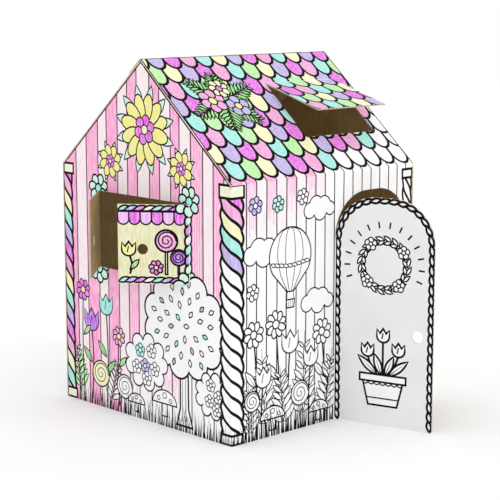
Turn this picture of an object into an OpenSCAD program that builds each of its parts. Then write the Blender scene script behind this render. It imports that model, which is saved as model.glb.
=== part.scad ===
// A playhouse folded from two sheets of corrugated board. Millimetres, +Z up.
// The front wall faces -Y and the left gable faces -X. The door, the shutters and the
// skylight flap are cut from the sheets and bent out on creases.

/* [House] */
// Width of a gable, from the front wall's face to the back wall's face
gable_w = 870; // [760:1:1100]
// Length of the front wall, from gable face to gable face
wall_l = 870; // [760:1:1300]
// Height of the eaves
eave_h = 845; // [720:1:1000]
// Height of the ridge
ridge_h = 1220; // [1100:1:1400]

/* [Board] */
// Thickness of the corrugated board
board_t = 4; // [3:0.1:6]
// Radius inside a fold
fold_r = 1.5; // [0.5:0.1:3]
// Gap left where one sheet lies on the other
glue_gap = 0.2; // [0.1:0.05:0.4]
// Width of the cut between a flap and the sheet round it
cut_gap = 2; // [1:0.5:4]

/* [Doorway] */
// Width of the doorway
door_w = 362; // [300:1:400]
// Board left between the doorway's head and the eave
door_head = 71; // [50:1:120]
// Board left between the doorway and the right gable
door_side = 32; // [30:1:80]
// Radius of the doorway's upper corners
door_arch_r = 150; // [100:1:150]
// How far the door stands open, in degrees
door_open = 73.5; // [20:0.5:110]
// Diameter of the finger hole in the door
door_hole_d = 40; // [30:1:50]
// Height of the finger hole in the door
door_hole_z = 319; // [250:1:420]
// From the finger hole to the door's free edge
door_hole_edge = 57; // [45:1:90]

/* [Windows] */
// Width of each gable window
window_w = 470; // [380:1:520]
// Height of each gable window
window_h = 265; // [220:1:320]
// From the eave's height down to the window's head
window_head = 80; // [60:1:120]
// How far the left gable's near shutter stands open, in degrees
near_open = 40; // [10:1:90]
// How far the left gable's far shutter stands open, in degrees
far_open = 46; // [10:1:90]
// How far the right gable's shutters stand open, in degrees
ajar_open = 15; // [10:1:90]
// Diameter of the finger hole in a shutter
shutter_hole_d = 35; // [25:1:45]
// From the finger hole to the shutter's free edge
shutter_hole_edge = 81; // [50:1:110]
// Height of the finger hole above the shutter's lower edge
shutter_hole_z = 114; // [80:1:160]

/* [Skylight] */
// Length of the skylight along the eave
sky_l = 341; // [280:1:400]
// Size of the skylight up the slope
sky_h = 264; // [200:1:280]
// Board left between the skylight and the roof's right edge
sky_side = 65; // [50:1:90]
// From the ridge down to the skylight's crease
sky_top = 142; // [110:1:170]
// How far the skylight flap is lifted, in degrees
sky_open = 24; // [10:1:80]

/* [Flaps] */
// Width of the glue flaps inside the upright seams
glue_flap_w = 45; // [30:1:60]
// Width of the tuck flaps under the roof, along the gables
tuck_flap_w = 60; // [40:1:64]
// Length of the slant at each end of a tuck flap
tuck_slant = 35; // [20:1:60]
// Width of the flap that folds over the ridge onto the back slope
ridge_flap_w = 75; // [50:1:110]
// Number of tongues that lock the ridge flap
tongue_n = 3; // [2:1:4]
// Width of a tongue
tongue_w = 60; // [40:1:80]
// Length of a tongue
tongue_l = 28; // [18:1:40]
// Room round a tongue in its slot
slot_gap = 1; // [0.5:0.5:2]

/* [Hidden] */
$fn = 48;
// Steps in the bend of a fold
fold_steps = 6;
// A path that turns less than this is straight, in degrees
straight = 0.01;
// Overlap that joins two stretches of one sheet
lap = 1;
// Room under its own sheet's roof for a glued flap: just less than none, so that they are one solid
glued = -lap / 10;

// Pitch of the roof, in degrees, and the length of a slope
pitch = atan2(ridge_h - eave_h, gable_w / 2);
slope_l = norm([gable_w / 2, ridge_h - eave_h]);
// Radius outside a fold
fold_out = fold_r + board_t;

// Where the upright folds end, below the eaves. The back sheet's end lower, clear of the front sheet.
relief = 12;
front_top = eave_h - relief;
back_top = front_top - 2 * lap;
// Clear room between a gable's top and the fold of an eave
eave_room = board_t + fold_r + lap;
// The back slope stops this far short of the ridge
ridge_room = 12;

// Doorway, windows and skylight
door_h = eave_h - door_head;
door_x = wall_l - door_side - door_w;
door_leaf = door_w - cut_gap;
window_z = eave_h - window_head - window_h;
window_y = (gable_w - window_w) / 2;
shutter_w = (window_w - cut_gap) / 2;
sky_crease = slope_l - sky_top;
sky_x = wall_l - sky_side - sky_l;

// The origin lies under the middle of the whole object's box
x_low = -shutter_w * sin(max(near_open, far_open));
x_high = wall_l + shutter_w * sin(ajar_open);
y_low = -door_leaf * sin(door_open);
mid_x = (x_low + x_high) / 2;
mid_y = (y_low + gable_w) / 2;

function unit(v) = v / norm(v);
function left_of(d) = [-d.y, d.x];
function turn_of(a, b) = atan2(a.x * b.y - a.y * b.x, a * b);

// Points round the fold at b of a sheet that runs from a over b to c. "depth" is 0 on the outer
// face and the board's thickness on the inner face, which lies to the right of the path.
function fold_arc(a, b, c, depth) =
    let (
        d0 = unit(b - a),
        turn = turn_of(d0, unit(c - b)),
        steps = abs(turn) < straight ? 0 : fold_steps,
        side = turn > 0 ? 1 : -1,
        reach = side < 0 ? fold_out : fold_r,
        start = b - d0 * reach * tan(abs(turn) / 2),
        centre = start + side * reach * left_of(d0),
        from = -side * left_of(d0),
        a0 = atan2(from.y, from.x),
        r = reach + side * depth
    )
    steps == 0 ? [b - depth * left_of(d0)] :
    [for (i = [0:steps])
        let (angle = a0 + turn * i / steps)
        centre + r * [cos(angle), sin(angle)]];

// One face of a folded sheet, seen along its folds
function folded_face(path, depth) =
    let (
        n = len(path),
        first = unit(path[1] - path[0]),
        last = unit(path[n - 1] - path[n - 2])
    )
    concat(
        [path[0] - depth * left_of(first)],
        n < 3 ? [] : [for (i = [1:n - 2]) each fold_arc(path[i - 1], path[i], path[i + 1], depth)],
        [path[n - 1] - depth * left_of(last)]
    );

function reversed(list) = [for (i = [len(list) - 1:-1:0]) list[i]];

// A folded sheet seen along its folds: path is its outer face, and the board lies to the right
module folded(path) {
    polygon(concat(folded_face(path, 0), reversed(folded_face(path, board_t))));
}

// Point on the front slope, s up from the eave and depth under the roof's face, as [y, z]
function slope_point(s, depth = 0) =
    [s * cos(pitch) + depth * sin(pitch), eave_h + s * sin(pitch) - depth * cos(pitch)];

function to_back_point(p) = [gable_w - p.x, p.y];

// Mirrors a shape to the back slope, or to the right gable
module to_back() {
    translate([0, gable_w, 0])
        mirror([0, 1, 0])
            children();
}

module to_right() {
    translate([wall_l, 0, 0])
        mirror([1, 0, 0])
            children();
}

// Stands a [y, z] outline up and runs it along X
module along_x(length) {
    rotate([90, 0, 90])
        linear_extrude(length)
            children();
}

// Puts children drawn as [x, up the slope, out of the roof] on the front slope
module on_slope() {
    translate([0, 0, eave_h])
        rotate([pitch, 0, 0])
            children();
}

// How far the cuts beside a leaf reach past its corner, when it is bent out by "open" degrees
function crease_room(open) = fold_r * tan(open / 2) + lap;

// Hole through a leaf, x from its crease and z up, drawn with the leaf along +X
module finger_hole(x, z, d) {
    translate([x, -board_t, z])
        rotate([-90, 0, 0])
            cylinder(d = d, h = 3 * board_t);
}

// Doorway outline, with round upper corners
module arch(w, h) {
    square([w, h - door_arch_r]);
    translate([door_arch_r, 0])
        square([w - 2 * door_arch_r, h]);
    for (x = [door_arch_r, w - door_arch_r])
        translate([x, h - door_arch_r])
            circle(door_arch_r);
}

// Cuts the door's outline, drawn with the leaf along +X: full length at the crease, round above
module door_outline() {
    h = door_h - cut_gap;
    translate([0, 3 * board_t, 0])
        rotate([90, 0, 0])
            linear_extrude(5 * board_t) {
                arch(door_leaf, h);
                translate([-door_head, -lap])
                    square([door_head + door_arch_r, h - door_arch_r + lap]);
                translate([0, -lap])
                    square([door_leaf, 2 * lap]);
            }
}

module door() {
    hinge = [door_x, 0];
    reach = door_leaf + lap;
    difference() {
        intersection() {
            linear_extrude(door_h)
                folded([
                    hinge + reach * [cos(door_open), -sin(door_open)],
                    hinge,
                    hinge - [crease_room(door_open) + lap, 0]
                ]);
            translate([door_x, 0, 0])
                rotate([0, 0, -door_open])
                    door_outline();
        }
        translate([door_x, 0, 0])
            rotate([0, 0, -door_open])
                finger_hole(door_leaf - door_hole_edge, door_hole_z, door_hole_d);
    }
}

// Left gable's shutter next to the front wall
module near_shutter(open) {
    translate([0, window_y, window_z + cut_gap])
        difference() {
            linear_extrude(window_h - 2 * cut_gap)
                folded([[0, -crease_room(open) - lap], [0, 0], shutter_w * [-sin(open), cos(open)]]);
            rotate([0, 0, open])
                mirror([1, -1, 0])
                    finger_hole(shutter_w - shutter_hole_edge, shutter_hole_z, shutter_hole_d);
        }
}

// Both shutters of the left gable's window
module shutters(near, far) {
    near_shutter(near);
    to_back()
        near_shutter(far);
}

module doorway() {
    room = crease_room(door_open);
    translate([door_x - room, 2 * board_t, -lap])
        rotate([90, 0, 0])
            linear_extrude(3 * board_t)
                arch(door_w + room, door_h + lap);
}

module window(near, far) {
    translate([-board_t, window_y - crease_room(near), window_z])
        cube([3 * board_t, window_w + crease_room(near) + crease_room(far), window_h]);
}

// Stretch of a gable's slope that its tuck flap folds from
tuck_low = 2 * relief;
tuck_high = slope_l - 2 * relief;

// Left gable above the upright folds, from height z, up to where its slopes fold inwards
module gable_top(z) {
    shy = board_t + glue_gap;
    deep = shy + fold_out;
    slope = [
        [eave_room, z],
        [eave_room, eave_h + eave_room * tan(pitch) - shy / cos(pitch)],
        slope_point(tuck_low + lap, shy),
        slope_point(tuck_low + lap, deep),
        slope_point(tuck_high - lap, deep),
        slope_point(tuck_high - lap, shy)
    ];
    peak = [gable_w / 2, ridge_h - shy / cos(pitch)];
    along_x(board_t)
        polygon(concat(slope, [peak], reversed([for (p = slope) to_back_point(p)])));
}

// Tuck flap of the left gable under the front slope; gap is the room left under the roof
module tuck_flap(gap) {
    shy = board_t + gap;
    ends = [
        [-lap, tuck_low],
        [fold_out, tuck_low],
        [tuck_flap_w + lap, tuck_low + tuck_slant],
        [tuck_flap_w + lap, tuck_high - tuck_slant],
        [fold_out, tuck_high],
        [-lap, tuck_high]
    ];
    on_slope()
        intersection() {
            translate([0, slope_l, 0])
                rotate([90, 0, 0])
                    linear_extrude(slope_l)
                        folded([[0, -shy - fold_out - 2 * lap], [0, -shy], [tuck_flap_w, -shy]]);
            translate([0, 0, -shy - fold_out - 3 * lap])
                linear_extrude(shy + fold_out + 4 * lap)
                    polygon(ends);
        }
}

// Places of the tongues along the ridge
function tongue_x(i) = wall_l * (i + 0.5) / tongue_n - tongue_w / 2;

// Front slope's outer face as [y, z]: the skylight's lower edge and the start of its crease,
// the fold over the ridge, and the ridge flap down to where a tongue would bend
rise = (board_t + glue_gap) / sin(2 * pitch);
down = [cos(pitch), -sin(pitch)];
wall_head = [[0, front_top - lap], [0, eave_h]];
sky_low = slope_point(sky_crease - sky_h);
sky_turn = slope_point(sky_crease + crease_room(sky_open));
ridge = slope_point(slope_l + rise);
flap_edge = ridge + ridge_flap_w * down;
ridge_flap = [ridge, flap_edge - fold_out * down, flap_edge];
sky_end = slope_point(sky_crease)
    - (sky_h - cut_gap) * [cos(pitch - sky_open), sin(pitch - sky_open)];
tongue_end = flap_edge - tongue_l * [sin(pitch), cos(pitch)];

// Runs one profile of the front slope from x0 to x1
module roof_strip(x0, x1, path) {
    translate([x0, 0, 0])
        along_x(x1 - x0)
            folded(path);
}

module front_roof() {
    sky_x1 = sky_x + sky_l;
    whole = concat(wall_head, [sky_low, sky_turn], ridge_flap);
    roof_strip(0, sky_x, whole);
    roof_strip(sky_x1, wall_l, whole);
    roof_strip(sky_x, sky_x1, concat(wall_head, [sky_low]));
    roof_strip(sky_x, sky_x1, concat([sky_turn], ridge_flap));
    roof_strip(sky_x + cut_gap, sky_x1 - cut_gap, concat([sky_end, slope_point(sky_crease)], ridge_flap));
    for (i = [0:tongue_n - 1])
        roof_strip(tongue_x(i), tongue_x(i) + tongue_w, [ridge, flap_edge, tongue_end]);
}

// Slots of the back slope that take the tongues, drawn on the front slope and mirrored
module tongue_slots() {
    edge = slope_l - ridge_flap_w - rise * cos(2 * pitch);
    for (i = [0:tongue_n - 1])
        on_slope()
            translate([tongue_x(i) - slot_gap, edge - slot_gap, -2 * board_t])
                cube([tongue_w + 2 * slot_gap, board_t + 2 * slot_gap, 3 * board_t]);
}

// Left gable, front wall and front slope, from the glue flap at the right gable to the one at the back wall
module front_sheet() {
    seam_x = wall_l - board_t - glue_gap;
    seam_y = gable_w - board_t - glue_gap;
    color("white")
        translate([-mid_x, -mid_y, 0]) {
            difference() {
                union() {
                    linear_extrude(front_top)
                        folded([[seam_x, glue_flap_w], [seam_x, 0], [0, 0], [0, seam_y], [glue_flap_w, seam_y]]);
                    gable_top(front_top - lap);
                    tuck_flap(glued);
                    to_back()
                        tuck_flap(glue_gap);
                    front_roof();
                }
                doorway();
                window(near_open, far_open);
            }
            door();
            shutters(near_open, far_open);
        }
}

// Back wall, right gable and back slope
module back_sheet() {
    color("tan")
        translate([-mid_x, -mid_y, 0]) {
            difference() {
                union() {
                    linear_extrude(back_top)
                        folded([[0, gable_w], [wall_l, gable_w], [wall_l, 0]]);
                    to_right() {
                        gable_top(back_top - lap);
                        tuck_flap(glue_gap);
                        to_back()
                            tuck_flap(glued);
                    }
                    to_back()
                        along_x(wall_l)
                            folded([[0, back_top - lap], [0, eave_h], slope_point(slope_l - ridge_room)]);
                }
                to_right()
                    window(ajar_open, ajar_open);
                to_back()
                    tongue_slots();
            }
            to_right()
                shutters(ajar_open, ajar_open);
        }
}

front_sheet();
back_sheet();
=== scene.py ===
"""Looks of a cardboard playhouse: printed and partly coloured-in sheets on folded kraft board.

Lengths are in millimetres in the house's own axes (x along the front wall, y to the back, z up,
from the near corner's foot) until in_frame() turns them into metres in the part's frame.
"""

import math
import random

import bpy
import numpy as np
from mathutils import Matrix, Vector
from mathutils.bvhtree import BVHTree
from mathutils.geometry import delaunay_2d_cdt


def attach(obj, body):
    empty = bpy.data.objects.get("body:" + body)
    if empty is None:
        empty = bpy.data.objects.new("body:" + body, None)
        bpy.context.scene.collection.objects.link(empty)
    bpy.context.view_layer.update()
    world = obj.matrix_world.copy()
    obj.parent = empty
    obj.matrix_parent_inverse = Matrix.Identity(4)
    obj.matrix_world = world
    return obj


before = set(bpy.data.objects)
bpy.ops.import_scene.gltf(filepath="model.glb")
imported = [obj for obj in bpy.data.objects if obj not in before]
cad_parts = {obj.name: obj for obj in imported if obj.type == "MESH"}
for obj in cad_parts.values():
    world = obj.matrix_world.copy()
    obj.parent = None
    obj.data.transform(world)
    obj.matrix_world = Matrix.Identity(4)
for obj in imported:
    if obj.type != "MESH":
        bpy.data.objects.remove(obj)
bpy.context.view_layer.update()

# House, as in the CAD source
GABLE_W = 870
WALL_L = 870
EAVE_H = 845
RIDGE_H = 1220
BOARD = 4
FOLD_IN = 1.5
FOLD_OUT = FOLD_IN + BOARD
GLUE_GAP = 0.2
CUT_GAP = 2
DOOR_W = 362
DOOR_H = 774
DOOR_SIDE = 32
DOOR_ARCH_R = 150
DOOR_OPEN = math.radians(73.5)
DOOR_HOLE_R = 20
DOOR_HOLE_Z = 319
DOOR_HOLE_EDGE = 57
WINDOW_W = 470
WINDOW_H = 265
WINDOW_Z = 500
NEAR_OPEN = math.radians(40)
FAR_OPEN = math.radians(46)
AJAR_OPEN = math.radians(15)
SHUTTER_HOLE_R = 17.5
SHUTTER_HOLE_EDGE = 81
SHUTTER_HOLE_Z = 114
SKY_L = 341
SKY_H = 264
SKY_SIDE = 65
SKY_TOP = 142
SKY_OPEN = math.radians(24)
RIDGE_FLAP_W = 75
RELIEF = 12

PITCH = math.atan2(RIDGE_H - EAVE_H, GABLE_W / 2)
SLOPE_L = math.hypot(RIDGE_H - EAVE_H, GABLE_W / 2)
SEAM = WALL_L - BOARD - GLUE_GAP
DOOR_X = WALL_L - DOOR_SIDE - DOOR_W
DOOR_LEAF = DOOR_W - CUT_GAP
WINDOW_Y = (GABLE_W - WINDOW_W) / 2
SHUTTER_W = (WINDOW_W - CUT_GAP) / 2
SHUTTER_H = WINDOW_H - 2 * CUT_GAP
SKY_CREASE = SLOPE_L - SKY_TOP
SKY_X = WALL_L - SKY_SIDE - SKY_L
MID_X = (WALL_L + SHUTTER_W * (math.sin(AJAR_OPEN) - math.sin(FAR_OPEN))) / 2
MID_Y = (GABLE_W - DOOR_LEAF * math.sin(DOOR_OPEN)) / 2

# The printed face lies this far off the board, and the straight root of a crease is this long
LIFT = 0.25
ROOT = 1

# Camera, in the house's axes
CAMERA = (-3220.5, -3459.7, 1456.1)
CAMERA_YAW = math.radians(43.651)
CAMERA_PITCH = math.radians(9.785)
CAMERA_LENS = 110.17

WHITE = "FBFBFC"
PAPER = {
    "bare": WHITE,
    # The door's uncoloured face is the walls' white board greyed with painted shade, as if turned away from
    # the light
    "door_bare_painted_shade": "EDEDED",
    "pink": "FF9FD2",
    "pale": "FCEAEF",
    "faint": "FACBE5",
    "rosy": "F6BFDF",
    "magenta": "E455E0",
    "rose": "EE9BD2",
    "lilac": "BAA9E2",
    "aqua": "97E8DC",
    "mint": "CDF3E4",
    "green": "B4EE9C",
    "leaf": "7FDB6A",
    "cream": "F6F2BC",
    "ivory": "F1F5D4",
    "straw": "E3E1AC",
    "yellow": "F7F07C",
    "blush": "EDAFF0",
    "violet": "B04CDC",
}


def in_frame(x, y, z):
    return Vector(((x - MID_X) / 1000, (y - MID_Y) / 1000, z / 1000))


def new_object(name, data):
    made = bpy.data.objects.new(name, data)
    bpy.context.collection.objects.link(made)
    return made


# Materials

def linear(code):
    """Linear colour of a six-digit sRGB code."""
    parts = [int(code[i:i + 2], 16) / 255 for i in (0, 2, 4)]
    return tuple(c / 12.92 if c <= 0.04045 else ((c + 0.055) / 1.055) ** 2.4 for c in parts) + (1,)


def toward(colour, other, share):
    return tuple(a + (b - a) * share for a, b in zip(colour, other))


def darker(colour, share):
    return tuple(c * share for c in colour[:3]) + (1,)


class Shader:
    """A Principled material with short calls for its procedural inputs."""

    def __init__(self, name, roughness, specular=0.3):
        self.material = bpy.data.materials.new(name)
        self.material.use_nodes = True
        self.nodes = self.material.node_tree.nodes
        self.links = self.material.node_tree.links
        self.bsdf = self.nodes["Principled BSDF"]
        self.fill(self.bsdf, {"Roughness": roughness, "Specular IOR Level": specular})
        self.coords = self.nodes.new("ShaderNodeTexCoord").outputs["Object"]

    def fill(self, node, inputs):
        """Gives a node's inputs their values, or joins them to other nodes' outputs. Returns its outputs."""
        for name, value in inputs.items():
            if isinstance(value, bpy.types.NodeSocket):
                self.links.new(value, node.inputs[name])
            else:
                node.inputs[name].default_value = value
        return node.outputs

    def add(self, kind, inputs):
        return self.fill(self.nodes.new(kind), inputs)

    def stretched(self, stretch):
        return self.add("ShaderNodeMapping", {"Scale": stretch, "Vector": self.coords})["Vector"]

    def noise(self, scale, detail=3, stretch=(1, 1, 1), low=0.0, high=1.0):
        """Noise, with the range from low to high spread over 0 to 1."""
        vector = self.stretched(stretch)
        noise = self.add("ShaderNodeTexNoise", {"Scale": scale, "Detail": detail, "Vector": vector})["Fac"]
        return self.add("ShaderNodeMapRange", {"From Min": low, "From Max": high, "Value": noise})["Result"]

    def waves(self, scale, stretch):
        return self.add("ShaderNodeTexWave", {"Scale": scale, "Vector": self.stretched(stretch)})["Fac"]

    def mix(self, factor, a, b):
        """Colour a where factor is 0 and b where it is 1."""
        mix = self.nodes.new("ShaderNodeMix")
        mix.data_type = "RGBA"
        return self.fill(mix, {"Factor": factor, "A": a, "B": b})["Result"]

    def bump(self, height, strength, distance):
        bump = self.add("ShaderNodeBump", {"Strength": strength, "Distance": distance, "Height": height})
        self.fill(self.bsdf, {"Normal": bump["Normal"]})

    def colour(self, socket):
        self.fill(self.bsdf, {"Base Color": socket})
        return self.material


def marker(name, code):
    """Marker on coated board: uneven coverage, upright strokes and a little bare paper."""
    shader = Shader(name, roughness=0.62)
    base = linear(code)
    bare = linear(WHITE)
    thin = toward(base, bare, 0.34)
    full = darker(base, 0.93)
    pools = shader.noise(26, 3, low=0.35, high=0.68)
    strokes = shader.noise(34, 2, stretch=(6, 6, 0.8), low=0.42, high=0.62)
    tooth = shader.noise(900, 2, low=0.62, high=0.74)
    coat = shader.mix(pools, full, base)
    coat = shader.mix(strokes, coat, thin)
    coat = shader.mix(tooth, coat, bare)
    shader.bump(shader.noise(1100, 2), 0.12, 0.0004)
    return shader.colour(coat)


def bare_board(name, code):
    """White coated liner with faint clouding, darker flecks and a fine bump."""
    shader = Shader(name, roughness=0.55)
    base = linear(code)
    cloud = shader.noise(9, 4, low=0.35, high=0.7)
    fleck = shader.noise(420, 3, low=0.66, high=0.8)
    coat = shader.mix(cloud, base, darker(base, 0.95))
    coat = shader.mix(fleck, coat, darker(base, 0.86))
    shader.bump(shader.noise(700, 3), 0.1, 0.0004)
    return shader.colour(coat)


def ink():
    """Black flexo print, a little thin in patches."""
    shader = Shader("ink", roughness=0.6, specular=0.08)
    deep = linear("08060A")
    thin = linear("242026")
    shader.bump(shader.noise(700, 3), 0.1, 0.0003)
    return shader.colour(shader.mix(shader.noise(160, 4, low=0.5, high=0.8), deep, thin))


def kraft():
    """Brown kraft liner: clouding, fibres, flecks and the flutes' faint stripes."""
    shader = Shader("kraft", roughness=0.85, specular=0.15)
    base = linear("C4AD7C")
    cloud = shader.noise(7, 4, low=0.3, high=0.7)
    fibre = shader.noise(240, 4, stretch=(1, 1, 0.12), low=0.45, high=0.75)
    fleck = shader.noise(520, 2, low=0.68, high=0.76)
    tone = shader.mix(cloud, base, linear("B09561"))
    tone = shader.mix(fibre, tone, linear("CFB98C"))
    tone = shader.mix(fleck, tone, linear("8E6E45"))
    shader.bump(shader.noise(300, 4, stretch=(1, 1, 0.2)), 0.2, 0.0006)
    return shader.colour(tone)


def cut_edge():
    """Cut edge of the board: pale fibre, with the ends of its upright flutes."""
    shader = Shader("cut_edge", roughness=0.9, specular=0.1)
    flute = shader.waves(21, (1, 1, 0))
    fibre = shader.noise(600, 3, low=0.3, high=0.7)
    tone = shader.mix(flute, linear("C4B597"), linear("DFD5C3"))
    tone = shader.mix(fibre, tone, linear("B19D7D"))
    shader.bump(flute, 0.3, 0.0008)
    return shader.colour(tone)


UNCOLOURED = ("bare", "door_bare_painted_shade")
materials = {name: bare_board(name, code) if name in UNCOLOURED else marker(name, code)
             for name, code in PAPER.items()}
materials["ink"] = ink()


# Shapes of the print, as lists of points in millimetres

def unit(x, y):
    length = math.hypot(x, y) or 1
    return x / length, y / length


def polar(x, y, r, a, flat=1.0):
    """Point at an angle round x and y, on a circle or on one that is flattened."""
    return x + r * math.cos(a), y + flat * r * math.sin(a)


def sized(x, y, size, points):
    """Points written as shares of a size, placed round x and y."""
    return [(x + dx * size, y + dy * size) for dx, dy in points]


def angles(count, start=0.0, turn=2 * math.pi):
    """The angles that part a turn evenly, the last one left out."""
    return [start + turn * i / count for i in range(count)]


def signed_area(outline):
    return sum(a[0] * b[1] - b[0] * a[1] for a, b in zip(outline, outline[1:] + outline[:1])) / 2


def grown(outline, by):
    """The outline moved outwards by a distance, with sharp corners held back."""
    if signed_area(outline) < 0:
        outline = outline[::-1]
    result = []
    count = len(outline)
    for i, (x, y) in enumerate(outline):
        ax, ay = unit(x - outline[i - 1][0], y - outline[i - 1][1])
        after = outline[(i + 1) % count]
        bx, by_ = unit(after[0] - x, after[1] - y)
        mx, my = ay + by_, -ax - bx
        scale = min(2 / max(mx * mx + my * my, 0.01), 1.6)
        result.append((x + mx * scale * by, y + my * scale * by))
    return result


def ellipse(x, y, rx, ry=None, turn=0.0, points=28):
    ry = ry or rx
    c, s = math.cos(turn), math.sin(turn)
    flat = [(rx * math.cos(a), ry * math.sin(a)) for a in angles(points)]
    return [(x + u * c - v * s, y + u * s + v * c) for u, v in flat]


def box(x0, y0, x1, y1):
    return [(x0, y0), (x1, y0), (x1, y1), (x0, y1)]


def arc(x, y, r, start, end, points=12):
    return [polar(x, y, r, math.radians(start + (end - start) * i / points)) for i in range(points + 1)]


def spline(a, b, c, d, t):
    """Catmull-Rom value between b and c."""
    bend = (2 * a - 5 * b + 4 * c - d) * t * t + (3 * b - a - 3 * c + d) * t ** 3
    return 0.5 * (2 * b + (c - a) * t + bend)


def smooth(points, steps=6):
    """A curve through the points."""
    ends = [points[0]] + list(points) + [points[-1]]
    result = []
    for four in zip(ends, ends[1:], ends[2:], ends[3:]):
        for i in range(steps):
            result.append(tuple(spline(*values, i / steps) for values in zip(*four)))
    return result + [points[-1]]


def stroke(points, width, taper=0.0):
    """A line of that width; taper 1 brings it to a point."""
    left, right = [], []
    last = len(points) - 1
    for i, (x, y) in enumerate(points):
        before, after = points[max(i - 1, 0)], points[min(i + 1, last)]
        dx, dy = unit(after[0] - before[0], after[1] - before[1])
        half = max(width * (1 - taper * i / last) / 2, 0.15)
        left.append((x - dy * half, y + dx * half))
        right.append((x + dy * half, y - dx * half))
    return left + right[::-1]


def lens(x0, y0, x1, y1, width, points=7):
    """A leaf, or a strand of rope, from one point to another."""
    dx, dy = x1 - x0, y1 - y0
    nx, ny = unit(-dy, dx)
    sides = []
    for side in (1, -1):
        run = []
        for i in range(points + 1):
            t = i / points
            bulge = math.sin(math.pi * t) * width / 2 * side
            run.append((x0 + dx * t + nx * bulge, y0 + dy * t + ny * bulge))
        sides.append(run)
    return sides[0] + sides[1][-2:0:-1]


def covered(outline, x, y):
    """Which of the points lie inside the outline."""
    turns = np.zeros(len(x), int)
    for (x0, y0), (x1, y1) in zip(outline, outline[1:] + outline[:1]):
        side = (x1 - x0) * (y - y0) - (x - x0) * (y1 - y0)
        turns += ((y0 <= y) & (y1 > y) & (side > 0)).astype(int)
        turns -= ((y0 > y) & (y1 <= y) & (side < 0)).astype(int)
    return turns != 0


class Canvas:
    """Flat artwork on a stretch of sheet. A later shape covers the earlier ones."""

    def __init__(self, outline, ground="bare"):
        self.points = []
        self.edges = []
        self.shapes = []
        self.holes = []
        self.origin = (0, 0)
        self.limit = self.closed(outline)
        self.ground = ground

    def closed(self, outline):
        outline = [(x + self.origin[0], y + self.origin[1]) for x, y in outline]
        first = len(self.points)
        count = len(outline)
        self.points += outline
        self.edges += [(first + i, first + (i + 1) % count) for i in range(count)]
        return outline

    def paint(self, outline, colour):
        self.shapes.append((self.closed(outline), colour))

    def outlined(self, outline, colour, line=3.0):
        """A filled shape with a black line centred on its edge."""
        self.paint(grown(outline, line / 2), "ink")
        self.paint(grown(outline, -line / 2), colour)

    def line(self, points, width=2.6, taper=0.0):
        self.paint(stroke(points, width, taper), "ink")

    def cut(self, outline):
        self.holes.append(self.closed(outline))

    def guide(self, start, end):
        """Makes the mesh follow a line, so that it can bend there."""
        first = len(self.points)
        self.points += [start, end]
        self.edges.append((first, first + 1))

    def build(self, name, place):
        """Makes the print's mesh; place turns a point of the canvas into one of the house."""
        flat, _, faces, *_ = delaunay_2d_cdt([Vector(p) for p in self.points], self.edges, [], 0, 1e-3, False)
        corners = np.array([tuple(p) for p in flat])
        faces = np.array([f for f in faces if len(f) == 3])
        x, y = corners[faces].mean(1).T
        keep = covered(self.limit, x, y)
        for hole in self.holes:
            keep &= ~covered(hole, x, y)
        faces, x, y = faces[keep], x[keep], y[keep]
        names = [self.ground]
        owner = np.zeros(len(x), int)
        for outline, colour in self.shapes:
            low, high = np.min(outline, 0), np.max(outline, 0)
            near = np.flatnonzero((x > low[0]) & (x < high[0]) & (y > low[1]) & (y < high[1]))
            if not len(near):
                continue
            if colour not in names:
                names.append(colour)
            owner[near[covered(outline, x[near], y[near])]] = names.index(colour)
        used, faces = np.unique(faces, return_inverse=True)
        faces = faces.reshape(-1, 3)
        mesh = bpy.data.meshes.new(name)
        mesh.from_pydata([in_frame(*place(*corners[i])) for i in used], [], faces.tolist())
        for colour in names:
            mesh.materials.append(materials[colour])
        mesh.polygons.foreach_set("material_index", owner)
        piece = new_object(name, mesh)
        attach(piece, "root")
        return piece


# Where the sheets lie

class Bend:
    """Outer face of a folded sheet seen along its folds, by distance along its sharp-cornered path."""

    def __init__(self, path, zero, outside):
        self.path = path
        self.outside = outside
        runs = [math.dist(a, b) for a, b in zip(path, path[1:])]
        at = [sum(runs[:i]) for i in range(len(path))]
        self.at = [a - at[zero] for a in at]
        self.ways = [unit(b[0] - a[0], b[1] - a[1]) for a, b in zip(path, path[1:])]
        self.reaches = [0] + [
            FOLD_OUT * math.tan(abs(self.turn(i)) / 2) for i in range(1, len(path) - 1)] + [0]

    def turn(self, i):
        (ax, ay), (bx, by) = self.ways[i - 1], self.ways[i]
        return math.atan2(ax * by - ay * bx, ax * bx + ay * by)

    def point(self, s, lift=LIFT):
        for i in range(1, len(self.path) - 1):
            reach = self.reaches[i]
            if abs(s - self.at[i]) < reach:
                dx, dy = self.ways[i - 1]
                share = (s - self.at[i] + reach) / (2 * reach)
                a = self.turn(i) * share
                px, py = self.path[i][0] - dx * reach, self.path[i][1] - dy * reach
                nx, ny = self.outside * -dy, self.outside * dx
                cx, cy = px - nx * FOLD_OUT, py - ny * FOLD_OUT
                c, sn = math.cos(a), math.sin(a)
                nx, ny = nx * c - ny * sn, nx * sn + ny * c
                return cx + nx * (FOLD_OUT + lift), cy + ny * (FOLD_OUT + lift)
        i = max(k for k in range(len(self.ways)) if k == 0 or s >= self.at[k])
        dx, dy = self.ways[i]
        along = s - self.at[i]
        return (self.path[i][0] + dx * along + self.outside * -dy * lift,
                self.path[i][1] + dy * along + self.outside * dx * lift)

    def folds(self, steps=6):
        """Distances at which the sheet's bends are stepped."""
        return [self.at[i] + self.reaches[i] * (2 * k / steps - 1)
                for i in range(1, len(self.path) - 1) for k in range(steps + 1)]


INSIDE = 40
walls_plan = Bend([(INSIDE, SEAM), (0, SEAM), (0, 0), (SEAM, 0), (SEAM, INSIDE)], zero=2, outside=-1)
back_plan = Bend([(WALL_L, 0), (WALL_L, GABLE_W), (0, GABLE_W)], zero=1, outside=-1)


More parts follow.
